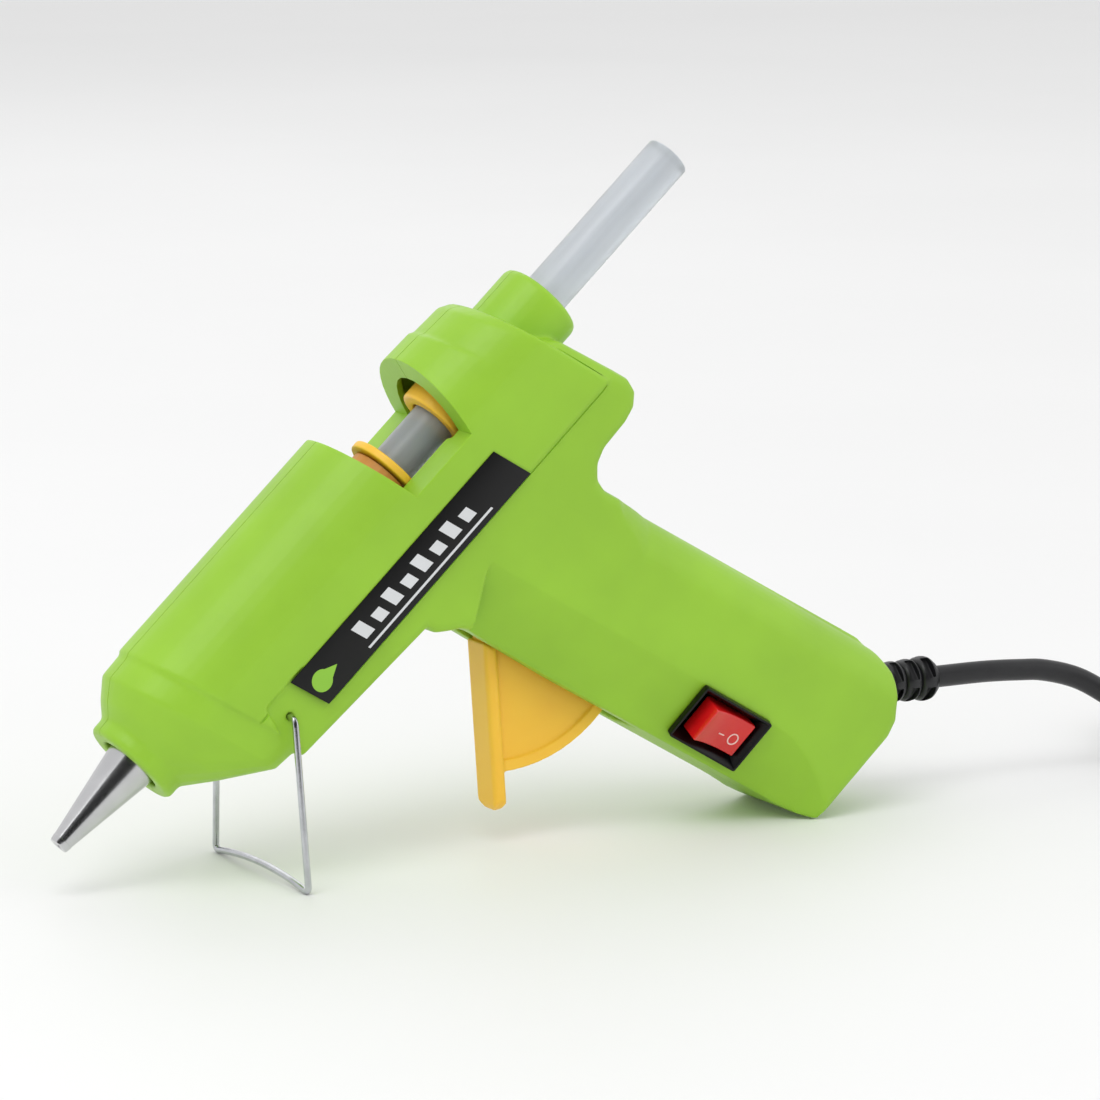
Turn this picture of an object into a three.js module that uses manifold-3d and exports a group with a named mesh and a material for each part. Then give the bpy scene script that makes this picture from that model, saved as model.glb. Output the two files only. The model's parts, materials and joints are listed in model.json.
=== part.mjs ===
// Trigger-fed hot-melt glue gun. Millimetres. World: nozzle toward -X, +Y away from the switch side, +Z up.
// The gun is drawn in its own frame, s along the barrel from the nozzle tip, y across, h above the barrel
// axis, and then tilted so that it stands on its wire stand and the front corner of its butt.
import * as THREE from "three";
import { mergeVertices } from "three/addons/utils/BufferGeometryUtils.js";
import Module from "manifold-3d";

const wasm = await Module();
wasm.setup();

// ---- driving dimensions -------------------------------------------------------------------------
const TILT = THREE.MathUtils.degToRad(42.96); // barrel above the floor
const TIP = [-118.19, 0, 12.42]; // nozzle tip in the world
const WALL = 2.2; // housing wall
const SPLIT = 0.12; // half of the gap between the housing halves
const RAKE = 0.28; // lean of the cross seams, per mm of height
const BARREL_R = 19.2; // barrel top radius and half width of the side panels
const FRAME_W = 18.2; // half width of the lower frame and the grip
const PANEL_FOOT = -18.6; // lower edge of the side panels
const FLANGE_R = 11.8;
const COLLAR_R = 10.7;
const COLLAR_END = 172.6;
const STICK_R = 5.5;
const STICK = [58, 219.4]; // glue stick, front and rear ends
const PIVOT = [112, -46]; // trigger pin
const ARM_TIP = [118.5, -19]; // trigger arm's slot
const SECTOR_R = 37;
const LEVER_PIN = [144, -13];
const LINK_PIN = [141, -21];
const STAND_PIVOT = [56.2, -13.6];
const STAND_FOOT = [29.6, -43.9];
const STAND_HALF = 24.6; // half width at the foot
const WIRE_R = 0.8;
const GRIP_DIR = [0.28, -0.96]; // down the grip
const FACET = THREE.MathUtils.degToRad(23.5); // slope of the grip's front facets
const FACET_EDGE = [[116.3, -27], [139.5, -108.3]]; // rear border of a facet
const SWITCH_U = 77.5; // switch centre, down the grip from the facet's top
const ROCKER_PIVOT = -1.4; // below the facet
const BOOT = [103.09, 0, 27.94]; // where the strain relief leaves the grip, world
const CORD_R = 2.75;
const COIL = { x: 225.5, y: 0, radius: 32, half: 8.5, height: 11.3 };
const PLUG = [213.9, -26, 18.5]; // where the tail enters the plug, which lies on the coil
const SCREWS = [[42, -15.5], [74, -20], [97.5, -19.2], [160, -22], [147, -71], [141, -133]];

// ---- helpers ------------------------------------------------------------------------------------
const V = (s, y, h) => new THREE.Vector3(s, y, h);
const unit = (a) => a.map((v) => v / Math.hypot(...a));

function outward(geometry) {
  const p = geometry.attributes.position;
  const idx = geometry.index.array;
  const [a, b, c] = [V(0, 0, 0), V(0, 0, 0), V(0, 0, 0)];
  let volume = 0;
  for (let i = 0; i < idx.length; i += 3) {
    a.fromBufferAttribute(p, idx[i]);
    b.fromBufferAttribute(p, idx[i + 1]);
    c.fromBufferAttribute(p, idx[i + 2]);
    volume += a.dot(b.cross(c));
  }
  if (volume < 0)
    for (let i = 0; i < idx.length; i += 3) [idx[i], idx[i + 1]] = [idx[i + 1], idx[i]];
  return geometry;
}

function weld(source) {
  const g = new THREE.BufferGeometry();
  g.setAttribute("position", source.attributes.position.clone());
  if (source.index) g.setIndex(source.index.clone());
  return outward(mergeVertices(g, 1e-4));
}

function toSolid(source) {
  const g = weld(source);
  return new wasm.Manifold(
    new wasm.Mesh({
      numProp: 3,
      vertProperties: new Float32Array(g.attributes.position.array),
      triVerts: new Uint32Array(g.index.array),
    }),
  );
}

function toGeometry(solid) {
  const m = solid.getMesh();
  const g = new THREE.BufferGeometry();
  const xyz = new Float32Array(m.numVert * 3);
  for (let i = 0; i < m.numVert; i++)
    xyz.set(m.vertProperties.subarray(i * m.numProp, i * m.numProp + 3), i * 3);
  g.setAttribute("position", new THREE.BufferAttribute(xyz, 3));
  g.setIndex(new THREE.BufferAttribute(new Uint32Array(m.triVerts), 1));
  return g;
}

const fold = (op) => (first, ...rest) =>
  toGeometry(rest.reduce((sum, g) => sum[op](toSolid(g)), toSolid(first)));
const join = fold("add");
const cut = fold("subtract");
const overlap = fold("intersect");

// Closed skin over rings of equal length; the end rings are capped.
function loft(rings) {
  const n = rings[0].length;
  const xyz = rings.flat().flatMap((v) => [v.x, v.y, v.z]);
  const faces = [];
  for (let i = 0; i + 1 < rings.length; i++)
    for (let j = 0; j < n; j++) {
      const [a, b] = [i * n + j, i * n + ((j + 1) % n)];
      faces.push(a, b, b + n, a, b + n, a + n);
    }
  const cap = (ring, first, flip) => {
    const o = ring[0];
    const normal = V(0, 0, 0);
    ring.forEach((v, i) =>
      normal.add(v.clone().sub(o).cross(ring[(i + 1) % n].clone().sub(o))),
    );
    normal.normalize();
    const u = Math.abs(normal.x) < 0.7 ? V(1, 0, 0) : V(0, 1, 0);
    u.addScaledVector(normal, -u.dot(normal)).normalize();
    const w = normal.clone().cross(u);
    const flat = ring.map((v) => new THREE.Vector2(v.dot(u), v.dot(w)));
    for (const [i, j, k] of THREE.ShapeUtils.triangulateShape(flat, []))
      faces.push(...(flip ? [i, k, j] : [i, j, k]).map((v) => v + first));
  };
  cap(rings[0], 0, true);
  cap(rings.at(-1), (rings.length - 1) * n, false);
  const g = new THREE.BufferGeometry();
  g.setAttribute("position", new THREE.Float32BufferAttribute(xyz, 3));
  g.setIndex(faces);
  return outward(g);
}

// Moves each edge of a closed polygon inward by d.
function inset(points, d) {
  const area = THREE.ShapeUtils.area(points.map(([x, y]) => ({ x, y })));
  const side = area > 0 ? 1 : -1;
  return points.map((p, i) => {
    const before = points.at(i - 1);
    const after = points[(i + 1) % points.length];
    const e = unit([p[0] - before[0], p[1] - before[1]]);
    const f = unit([after[0] - p[0], after[1] - p[1]]);
    const m = [-(e[1] + f[1]) * side, (e[0] + f[0]) * side];
    const k = d / Math.max(0.35, (m[0] * m[0] + m[1] * m[1]) / 2);
    return [p[0] + m[0] * k, p[1] + m[1] * k];
  });
}

const slab = (points, y0, y1) =>
  loft([y0, y1].map((y) => points.map(([s, h]) => V(s, y, h))));

// A side profile carried across the width, with its two long edges rounded.
function pillow(points, half, r) {
  const turns = [0, 0.5, 1].map((t) => (t * Math.PI) / 2);
  const layer = (a, sign) =>
    inset(points, r * (1 - Math.sin(a))).map(([s, h]) =>
      V(s, sign * (half - r + r * Math.cos(a)), h),
    );
  return loft([
    ...turns.map((a) => layer(a, -1)),
    ...turns.reverse().map((a) => layer(a, 1)),
  ]);
}

function turned(profile, segments = 32) {
  const ring = profile.map(([s, r]) => new THREE.Vector2(Math.max(r, 0), s));
  const g = new THREE.LatheGeometry([...ring, ring[0]], segments);
  return weld(g.rotateZ(-Math.PI / 2));
}

const rod = (s, h, r, y0, y1, segments = 20) =>
  weld(new THREE.CylinderGeometry(r, r, y1 - y0, segments)).translate(s, (y0 + y1) / 2, h);

const block = (s0, s1, y0, y1, h0, h1) =>
  weld(new THREE.BoxGeometry(s1 - s0, y1 - y0, h1 - h0)).translate(
    (s0 + s1) / 2,
    (y0 + y1) / 2,
    (h0 + h1) / 2,
  );

// Round wire through the points; each inner corner is bent to the given radius.
function wire(points, r, bend = 0, sides = 10) {
  const path = [points[0]];
  for (let i = 1; i + 1 < points.length; i++) {
    const [p, q, t] = [points[i - 1], points[i], points[i + 1]];
    if (!bend) {
      path.push(q);
      continue;
    }
    const a = p.clone().sub(q).normalize();
    const b = t.clone().sub(q).normalize();
    const turn = Math.PI - a.angleTo(b);
    const reach = Math.min(bend * Math.tan(turn / 2), 0.45 * p.distanceTo(q), 0.45 * q.distanceTo(t));
    const curve = new THREE.QuadraticBezierCurve3(
      q.clone().addScaledVector(a, reach),
      q,
      q.clone().addScaledVector(b, reach),
    );
    path.push(...curve.getPoints(4));
  }
  path.push(points.at(-1));
  const along = path.map((p, i) =>
    (path[i + 1] ?? p).clone().sub(path[i - 1] ?? p).normalize(),
  );
  const side = Math.abs(along[0].y) < 0.8 ? V(0, 1, 0) : V(1, 0, 0);
  return loft(
    path.map((p, i) => {
      side.addScaledVector(along[i], -side.dot(along[i])).normalize();
      const up = along[i].clone().cross(side);
      return Array.from({ length: sides }, (_, j) => {
        const a = (2 * Math.PI * j) / sides;
        return p
          .clone()
          .addScaledVector(side, r * Math.cos(a))
          .addScaledVector(up, r * Math.sin(a));
      });
    }),
  );
}

const finishes = {
  green: { color: 0x8fcb33, roughness: 0.55 },
  orange: { color: 0xfbaf30, roughness: 0.5 },
  black: { color: 0x17181b, roughness: 0.5 },
  label: { color: 0x1a1b1d, roughness: 0.45 },
  red: { color: 0xd81e1e, roughness: 0.35 },
  steel: { color: 0xb9bec4, roughness: 0.3, metalness: 1 },
  chrome: { color: 0xd8dadd, roughness: 0.15, metalness: 1 },
  alloy: { color: 0xb4b6b8, roughness: 0.4, metalness: 1 },
  brass: { color: 0xc9a24a, roughness: 0.35, metalness: 1 },
  ceramic: { color: 0xe6e0d4, roughness: 0.7 },
  film: { color: 0xb5762a, roughness: 0.4 },
  silicone: { color: 0xd08a3a, roughness: 0.6 },
  glue: { color: 0xdfe3e8, roughness: 0.3 },
  blue: { color: 0x2d5fae, roughness: 0.5 },
  brown: { color: 0x6a4427, roughness: 0.5 },
};
const materials = Object.fromEntries(
  Object.entries(finishes).map(([k, v]) => [k, new THREE.MeshStandardMaterial(v)]),
);

const root = new THREE.Group();
const gun = new THREE.Group();
gun.rotation.y = -TILT;
gun.position.set(...TIP);
root.add(gun);

function place(name, geometry, finish, parent = gun) {
  const g = geometry.index ? geometry.toNonIndexed() : geometry;
  g.deleteAttribute("normal");
  g.computeVertexNormals();
  const mesh = new THREE.Mesh(g, materials[finish]);
  mesh.name = name;
  parent.add(mesh);
}

// ---- housing ------------------------------------------------------------------------------------
// One cross section of the barrel: round top of the given height, straight sides, rounded lower edges.
function section(sigma, rake, half, top, foot, r) {
  const yh = [];
  for (let i = 0; i <= 22; i++) {
    const a = (Math.PI * i) / 22;
    yh.push([half * Math.cos(a), top * Math.sin(a)]);
  }
  for (let i = 0; i <= 4; i++) {
    const a = Math.PI + (Math.PI / 2) * (i / 4);
    yh.push([-half + r + r * Math.cos(a), foot + r + r * Math.sin(a)]);
  }
  for (let i = 0; i <= 4; i++) {
    const a = 1.5 * Math.PI + (Math.PI / 2) * (i / 4);
    yh.push([half - r + r * Math.cos(a), foot + r + r * Math.sin(a)]);
  }
  return yh.map(([y, h]) => V(sigma - rake * h, y, h));
}

function barrel(t) {
  const R = BARREL_R - t;
  return loft([
    section(28.8 + t, 0, FLANGE_R - t, FLANGE_R - t, -FLANGE_R + t, FLANGE_R - t - 0.2),
    section(33.5 + t * 0.7, 0.13, 14.6 - t, 15 - t, -16.4 + t, 10.5 - t),
    section(40.5 + t * 0.4, 0.257, 18 - t, 18.4 - t, -22.3 + t, 6.5 - t),
    section(47.4, RAKE, 18.4 - t, 18.6 - t, -22.6 + t, 5.5 - t),
    section(47.8, RAKE, R, R, PANEL_FOOT + t / 3, 1.2),
    section(161 - t, RAKE, R, R, PANEL_FOOT + t / 3, 1.2),
  ]);
}

// The hood behind the window is a little lower than the barrel and steps down once more to the rear.
function hoodTrim(t) {
  const big = BARREL_R + 8;
  const ring = (s, r) => Array.from({ length: 23 }, (_, i) => {
    const a = (Math.PI * i) / 22;
    return V(s - RAKE * r * Math.sin(a), r * Math.cos(a) * (BARREL_R - t + 0.02) / r, r * Math.sin(a));
  }).concat([V(s, -big, -0.02), V(s, -big, big + 2), V(s, big, big + 2), V(s, big, -0.02)]);
  return loft([ring(124, 18.9 - t), ring(149.6, 17.7 - t), ring(149.9, 16.9 - t),
    ring(158.5, 16.3 - t), ring(161.2, 14.2 - t), ring(163.5, 12.4 - t)]);
}

// Side profile of the lower frame and grip, outside and inside the wall.
const FRAME = [
  [49.6, -14], [52.2, -23.7], [94.2, -26], [94.9, -28.6], [97.4, -30.8], [100.2, -33],
  [102.2, -36.2], [103.2, -40.5], [109, -62.5], [122.3, -107.5], [127.6, -125.5], [129.2, -132],
  [131.1, -137.2], [133.2, -141], [136.4, -141.2], [160.4, -141.2], [164.6, -139.9], [169.2, -135.9],
  [172.6, -131.5], [174.1, -126], [174, -122], [172.5, -117], [148.3, -37.5], [148.8, -34.2],
  [151.4, -31.4], [155, -30], [163, -29.7], [167, -28.7], [169.9, -26.2], [170.6, -22.6],
  [169.4, -18.6], [164.2, -3], [161.2, 0.5], [150, 0.5], [110, -14],
];
const CORE = [
  [54, -14], [54.6, -21.6], [95.9, -23.8], [96.8, -27], [99, -29.2], [101.8, -31.6], [104.1, -35.2],
  [105.3, -40], [111.2, -63], [124.5, -108], [129.7, -126], [131.2, -131], [133, -135],
  [135, -137.9], [138.4, -138.6], [159.8, -137.8], [163.2, -136.9], [167.4, -133.8], [170.2, -129.8],
  [171.9, -126], [171.8, -122.6], [170.4, -117.6], [146, -38], [146.8, -33], [150, -29.4],
  [154.4, -27.8], [162.6, -27.5], [165.8, -26.6], [167.9, -24.6], [168.2, -22], [162, -3],
  [159.6, -1.7], [150, -1.7], [110, -12.4],
];

const across = [-GRIP_DIR[1], GRIP_DIR[0]]; // from the facet border toward the back of the grip
const along = unit([FACET_EDGE[1][0] - FACET_EDGE[0][0], FACET_EDGE[1][1] - FACET_EDGE[0][1]]);
const facetLift = (u) => (u < 90 ? 0 : 60 - Math.sqrt(3600 - (u - 90) ** 2));

// Wedge that takes one front facet off the grip, on the side given by sign.
function facet(sign, t) {
  const ring = (u) => {
    const lift = facetLift(u) - t / Math.cos(FACET);
    const at = (v, y) =>
      V(FACET_EDGE[0][0] + along[0] * u - across[0] * v, sign * y, FACET_EDGE[0][1] + along[1] * u - across[1] * v);
    const w = FRAME_W + lift;
    return [at(-14, w + 14 * Math.tan(FACET)), at(34, w - 34 * Math.tan(FACET)), at(34, 40), at(-14, 40)];
  };
  const top = slab([[70, -14], [119, -14], [116.9, -25.6], [99, -36.6], [70, -50]], -45, 45);
  return cut(loft([-25, 90, 96, 102, 108, 114, 121, 128].map(ring)), top);
}

function body(t, profile = t > 0.8 ? CORE : FRAME) {
  const frame = pillow(profile, FRAME_W - t, t ? 1 : 2.2);
  const grip = cut(frame, facet(-1, t), facet(1, t), gripBack(t));
  return join(cut(barrel(t), hoodTrim(t)), grip);
}

// Trims the back edges of the grip to a large radius, which runs out at the top.
function gripBack(t) {
  const r = 11;
  const half = FRAME_W - t;
  const ring = ([u, outward], sign) => {
    const at = (v, y) =>
      V(151.5 + GRIP_DIR[0] * u - across[0] * (v - outward), sign * (y + outward), -48 + GRIP_DIR[1] * u - across[1] * (v - outward));
    const pts = [];
    for (let i = 0; i <= 8; i++) {
      const a = (Math.PI / 2) * (i / 8);
      pts.push(at(r - r * Math.sin(a) + t, half - r + r * Math.cos(a)));
    }
    pts.push(at(-12, half - r), at(-12, half + 9), at(r + t, half + 9));
    return pts;
  };
  const ends = [[-14, 5], [-4, 1.6], [6, 0], [104, 0]];
  return join(...[-1, 1].map((sign) => loft(ends.map((end) => ring(end, sign)))));
}

const WINDOW = [[113.4, 0.3], [109, 21.5], [136.4, 21.5], [132.2, 0.3]];
const windowWalls = [[111, -2], [106, 24], [139.4, 24], [134.6, -2]];
const grooveUp = slab([[53.2, -7.2], [66, -7.2], [66, -30], [50.6, -30], [50.6, -18.6]], -30, -18.1);
const grooveDown = slab([[53.2, -7.2], [66, -7.2], [66, -30], [50.6, -30], [50.6, -18.6]], 18.1, 30);
const PLATE = [[61.5, -7.4], [133.8, -7.4], [136.9, -18.4], [64.6, -18.4]];

const bossAt = ([s, h], r, y0, y1) => rod(s, h, r, y0, y1, 16);
const ribAt = (s0, s1) => overlap(body(WALL - 0.6), block(s0, s1, -30, 30, -24, 30));

const cavity = cut(
  join(body(WALL), turned([[26.5, 0], [26.5, 9], [34, 9], [34, 0]])),
  slab(windowWalls, -40, 40),
);
const bosses = join(
  ...SCREWS.map((p) => bossAt(p, 2.9, -17.4, 11)),
  ...SCREWS.map((p) => bossAt(p, 4.4, 10, 17.4)),
  bossAt(PIVOT, 3.4, -17.4, 17.4),
  overlap(bossAt(STAND_PIVOT, 3, -18, 18), cut(block(50, 62, -18, 18, -20, -8), block(49, 63, -14, 14, -30, 0))),
  ribAt(35, 37),
  ribAt(92, 94),
);
const openings = join(
  slab(WINDOW, -40, 40),
  block(112.5, 134.4, -10.7, 10.7, -8.5, 4), // well under the stick
  turned([[20, 0], [20, 7.6], [33, 7.6], [33, 0]]), // nozzle
  turned([[33, 0], [33, 8.6], [98, 8.6], [98, 0]], 24), // heating chamber
  block(48, 98, -7.4, 7.4, -14, -5), // heater saddle
  turned([[98, 0], [98, 9], [115.2, 9], [115.2, 0]], 24), // inlet sleeve
  turned([[130, 0], [130, 12.6], [141, 12.6], [141, 0]], 24), // hood arch
  turned([[150, 0], [150, 6.4], [180, 6.4], [180, 0]], 24), // rear bore
  slab([[95, -41.2], [107, -40], [123, -86], [131, -92], [95, -92]], -5.4, 5.4), // trigger slot
  rod(...PIVOT, 2.06, -11.8, 11.8, 24),
  block(105, 123, -4.7, 4.7, -60, -34),
  rod(...STAND_PIVOT, 0.88, -40, 40, 16),
  ...SCREWS.map((p) => bossAt(p, 1.6, -14, 40)),
  ...SCREWS.map((p) => bossAt(p, 3.2, 13.6, 40)),
);

// The strain relief and the cord leave along world X, which is this direction in the gun's frame.
const out = [Math.cos(TILT), -Math.sin(TILT)];
const bootAt = (d, y = 0, up = 0) => {
  const dx = BOOT[0] + d - TIP[0];
  const dz = BOOT[2] + up - TIP[2];
  return V(dx * Math.cos(TILT) + dz * Math.sin(TILT), y, -dx * Math.sin(TILT) + dz * Math.cos(TILT));
};
const leadHole = (profile, segments = 24) => {
  const g = turned(profile, segments);
  const q = new THREE.Quaternion().setFromUnitVectors(V(1, 0, 0), V(out[0], 0, out[1]));
  const o = bootAt(0);
  return g.applyQuaternion(q).translate(o.x, o.y, o.z);
};

// Switch frame: u down the grip, v toward the front, n out of the facet.
const switchFrame = (() => {
  const u = V(along[0], 0, along[1]);
  const front = V(-across[0], 0, -across[1]);
  const n = V(0, -Math.cos(FACET), 0).addScaledVector(front, Math.sin(FACET)).normalize();
  const v = n.clone().cross(u).normalize();
  const half = 7.6;
  const base = V(FACET_EDGE[0][0], -FRAME_W, FACET_EDGE[0][1]).addScaledVector(u, SWITCH_U);
  base.addScaledVector(front, half * Math.cos(FACET)).add(V(0, half * Math.sin(FACET), 0));
  return new THREE.Matrix4().makeBasis(u, v, n).setPosition(base);
})();
const inSwitch = (g) => g.applyMatrix4(switchFrame);

const collar = turned([[146, 0], [146, COLLAR_R], [COLLAR_END - 1.4, COLLAR_R],
  [COLLAR_END - 0.4, COLLAR_R - 0.4], [COLLAR_END, COLLAR_R - 1.4], [COLLAR_END, 0]], 28);
const flange = turned([[24.8, 0], [24.8, FLANGE_R - 0.8], [25.6, FLANGE_R], [29.6, FLANGE_R], [29.6, 0]], 28);
const shell = cut(
  join(cut(join(body(0), collar, flange), cavity), overlap(bosses, body(0.6))),
  openings,
  grooveUp,
  grooveDown,
  slab(inset(PLATE, -0.3), -25, -18.9),
  leadHole([[-14, 0], [-14, 4.2], [-9.6, 4.2], [-9.6, 6], [-3, 6], [-3, 4.6], [9, 4.6], [9, 0]]),
  inSwitch(block(-9.9, 9.9, -6.7, 6.7, -16, 6)),
);
place("housing_left", overlap(shell, block(-10, 240, -60, -SPLIT, -200, 60)), "green");
place("housing_right", overlap(shell, block(-10, 240, SPLIT, 60, -200, 60)), "green");
SCREWS.forEach(([s, h], i) => {
  const screw = join(rod(s, h, 1.3, -12, 14.2, 12), rod(s, h, 2.7, 13.9, 15.4, 16));
  place("housing_screw_" + (i + 1), cut(screw, block(s - 1.8, s + 1.8, 14.4, 16, h - 0.35, h + 0.35),
    block(s - 0.35, s + 0.35, 14.4, 16, h - 1.8, h + 1.8)), "steel");
});
place("label_plate", slab(PLATE, -19.25, -19), "label");

// ---- heating and feed ---------------------------------------------------------------------------
place("nozzle", turned([[0, 1.1], [0, 2.2], [0.5, 2.5], [26, 6.45], [33.6, 6.45], [33.6, 4.5],
  [41, 4.5], [41, 3], [9, 3], [4, 1.1]], 28), "chrome");
place("heating_chamber", cut(
  join(turned([[34.2, 4.8], [34.2, 8.2], [97, 8.2], [97, 5.9], [41.6, 5.9], [41.6, 4.8]], 28),
    cut(block(50, 90, -7, 7, -13.2, -4), turned([[40, 0], [40, 7], [98, 7], [98, 0]], 28))),
  block(52, 98, -5.6, 5.6, -12, -8.1),
), "alloy");
place("heater_sleeve", cut(block(53, 89, -5.2, 5.2, -11.8, -8.4), block(50, 92, -4.7, 4.7, -11.4, -8.8)), "film");
place("heater_plate", block(55, 87, -4.3, 4.3, -10.65, -9.55), "ceramic");
place("electrode_upper", join(block(54, 88, -4.2, 4.2, -9.35, -9), block(87, 96, -3.6, -1.2, -9.35, -9)), "brass");
place("electrode_lower", join(block(54, 88, -4.2, 4.2, -11.2, -10.85), block(87, 96, 1.2, 3.6, -11.2, -10.85)), "brass");
place("inlet_sleeve", turned([[97.3, 5.75], [97.3, 8.6], [114.8, 8.6], [114.8, 5.75]], 28), "silicone");
place("guide_disc", turned([[115.3, 5.9], [115.3, 10.3], [117.3, 10.3], [117.3, 5.9]], 28), "orange");
place("glue_stick", turned([[STICK[0], 0], [STICK[0], STICK_R - 0.3], [STICK[0] + 0.3, STICK_R],
  [STICK[1] - 0.2, STICK_R], [STICK[1], STICK_R - 0.2], [STICK[1], 0]], 32), "glue");

const cheeks = [-1, 1].map((side) =>
  slab([[138, -7], [151, -7], [151, -11], [146.5, -16], [141.5, -16], [138, -12]],
    Math.min(side * 3.1, side * 5.4), Math.max(side * 3.1, side * 5.4)));
place("carriage", cut(
  join(turned([[132.6, 6], [132.6, 8.8], [133, 9.2], [149.4, 9.2], [149.4, 6]], 32), ...cheeks),
  turned([[130, 0], [130, 6], [153, 6], [153, 0]], 32),
  block(138.6, 148.6, -3.1, 3.1, -12, 0),
  rod(...LEVER_PIN, 1.56, -8, 8, 20),
), "orange");
place("clamp_lever", cut(
  slab([[140.6, -11.5], [145.4, -5.9], [147, -5.9], [147.6, -12.6], [145.6, -16], [143, -23.2],
    [138.8, -23.2], [138.4, -20], [140.4, -15]], -2.7, 2.7),
  rod(...LEVER_PIN, 1.56, -8, 8, 20),
  ...[-1, -0.5, 0].map((d) => rod(LINK_PIN[0] + d, LINK_PIN[1], 0.95, -8, 8, 12)),
), "steel");
place("clamp_pin", rod(...LEVER_PIN, 1.5, -5.6, 5.6, 20), "steel");
place("push_link", wire([V(LINK_PIN[0], -3.2, LINK_PIN[1]), V(LINK_PIN[0], 4.2, LINK_PIN[1]),
  V(ARM_TIP[0], 4.2, ARM_TIP[1]), V(ARM_TIP[0], -3.2, ARM_TIP[1])], WIRE_R, 1.4, 8), "steel");

// ---- trigger ------------------------------------------------------------------------------------
const polar = (r, deg) => {
  const a = THREE.MathUtils.degToRad(deg);
  return [PIVOT[0] + r * Math.cos(a), PIVOT[1] + r * Math.sin(a)];
};
const arc = (r, from, to, n) => Array.from({ length: n + 1 }, (_, i) => polar(r, from + ((to - from) * i) / n));
const padDown = unit([-0.628, -0.778]);
const onPad = (t, back) => [105.3 + padDown[0] * t - padDown[1] * back, -45.7 + padDown[1] * t + padDown[0] * back];
const padTip = 42.8;
const padEnd = (back) => {
  const at = (t, y) => V(onPad(t, back)[0], y, onPad(t, back)[1]);
  const inner = Array.from({ length: 13 }, (_, i) => (Math.PI * i) / 12).map((a) => at(padTip - 4.9 + 4.9 * Math.sin(a), 5.2 * Math.cos(a)));
  return [at(padTip - 4.9, 8), ...inner, at(padTip - 4.9, -8), at(padTip + 3, -8), at(padTip + 3, 8)];
};
const roundEnd = loft([-2, 7].map(padEnd)); // leaves the lower end of the pad half round
const pad = cut(pillow([onPad(1, 0), onPad(40.6, 0), onPad(42.2, 0.6), onPad(42.8, 1.7), onPad(42.2, 2.8),
  onPad(40.6, 3.4), onPad(2, 3.4)], 5, 1.2), roundEnd);
const web = slab([onPad(1.5, 1), onPad(36.2, 1), ...arc(SECTOR_R, 229.5, 298, 14), polar(8, 290), polar(6, 40), polar(6, 110)], -3.1, 3.1);
const rim = slab([...arc(SECTOR_R, 227, 298, 14), ...arc(SECTOR_R - 2.8, 298, 227, 14)], -4, 4);
const arm = slab([polar(4.6, 180), [115, -17.5], [116.6, -15.6], [120, -15.6], [121.8, -18], polar(4.6, 0), polar(4.6, 300), polar(4.6, 240)], -2.6, 2.6);
const slotDir = unit([ARM_TIP[0] - PIVOT[0], ARM_TIP[1] - PIVOT[1]]);
place("trigger", cut(
  join(pad, web, rim, arm, rod(...PIVOT, 5, -3.9, 3.9, 24)),
  rod(...PIVOT, 2.06, -8, 8, 24),
  ...[-1.1, -0.55, 0, 0.5].map((d) => rod(ARM_TIP[0] + slotDir[0] * d, ARM_TIP[1] + slotDir[1] * d, 1.02, -8, 8, 14)),
), "orange");
place("trigger_pin", rod(...PIVOT, 2, -11.5, 11.5, 24), "steel");
const coil = Array.from({ length: 43 }, (_, i) => {
  const a = (2 * Math.PI * i) / 14;
  return V(PIVOT[0] + 4.3 * Math.cos(a), 5.4 + i * 0.085, PIVOT[1] + 4.3 * Math.sin(a));
});
place("return_spring", wire([V(118.6, 5.4, -30), ...coil, V(123.5, 9.6, -62)], 0.45, 0, 6), "steel");

// ---- stand --------------------------------------------------------------------------------------
const [ps, ph] = STAND_PIVOT;
const [fs, fh] = STAND_FOOT;
const legLength = Math.hypot(ps - fs, ph - fh);
const [ls, lh] = [(ps - fs) / legLength, (ph - fh) / legLength];
place("stand_wire", wire([
  V(ps, -14.6, ph), V(ps, -20.6, ph), V(fs, -STAND_HALF, fh), V(fs + ls, -14, fh + lh),
  V(fs + 2 * ls, 0, fh + 2 * lh), V(fs + ls, 14, fh + lh), V(fs, STAND_HALF, fh), V(ps, 20.6, ph), V(ps, 14.6, ph),
], WIRE_R, 2.2, 8), "steel");

// ---- switch and cord entry ----------------------------------------------------------------------
place("switch_body", inSwitch(cut(
  join(block(-10.6, 10.6, -7.6, 7.6, 0.3, 2.1), block(-9.5, 9.5, -6.3, 6.3, -10, 1)),
  block(-8.2, 8.2, -5.1, 5.1, -7, 4),
)), "black");
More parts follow.
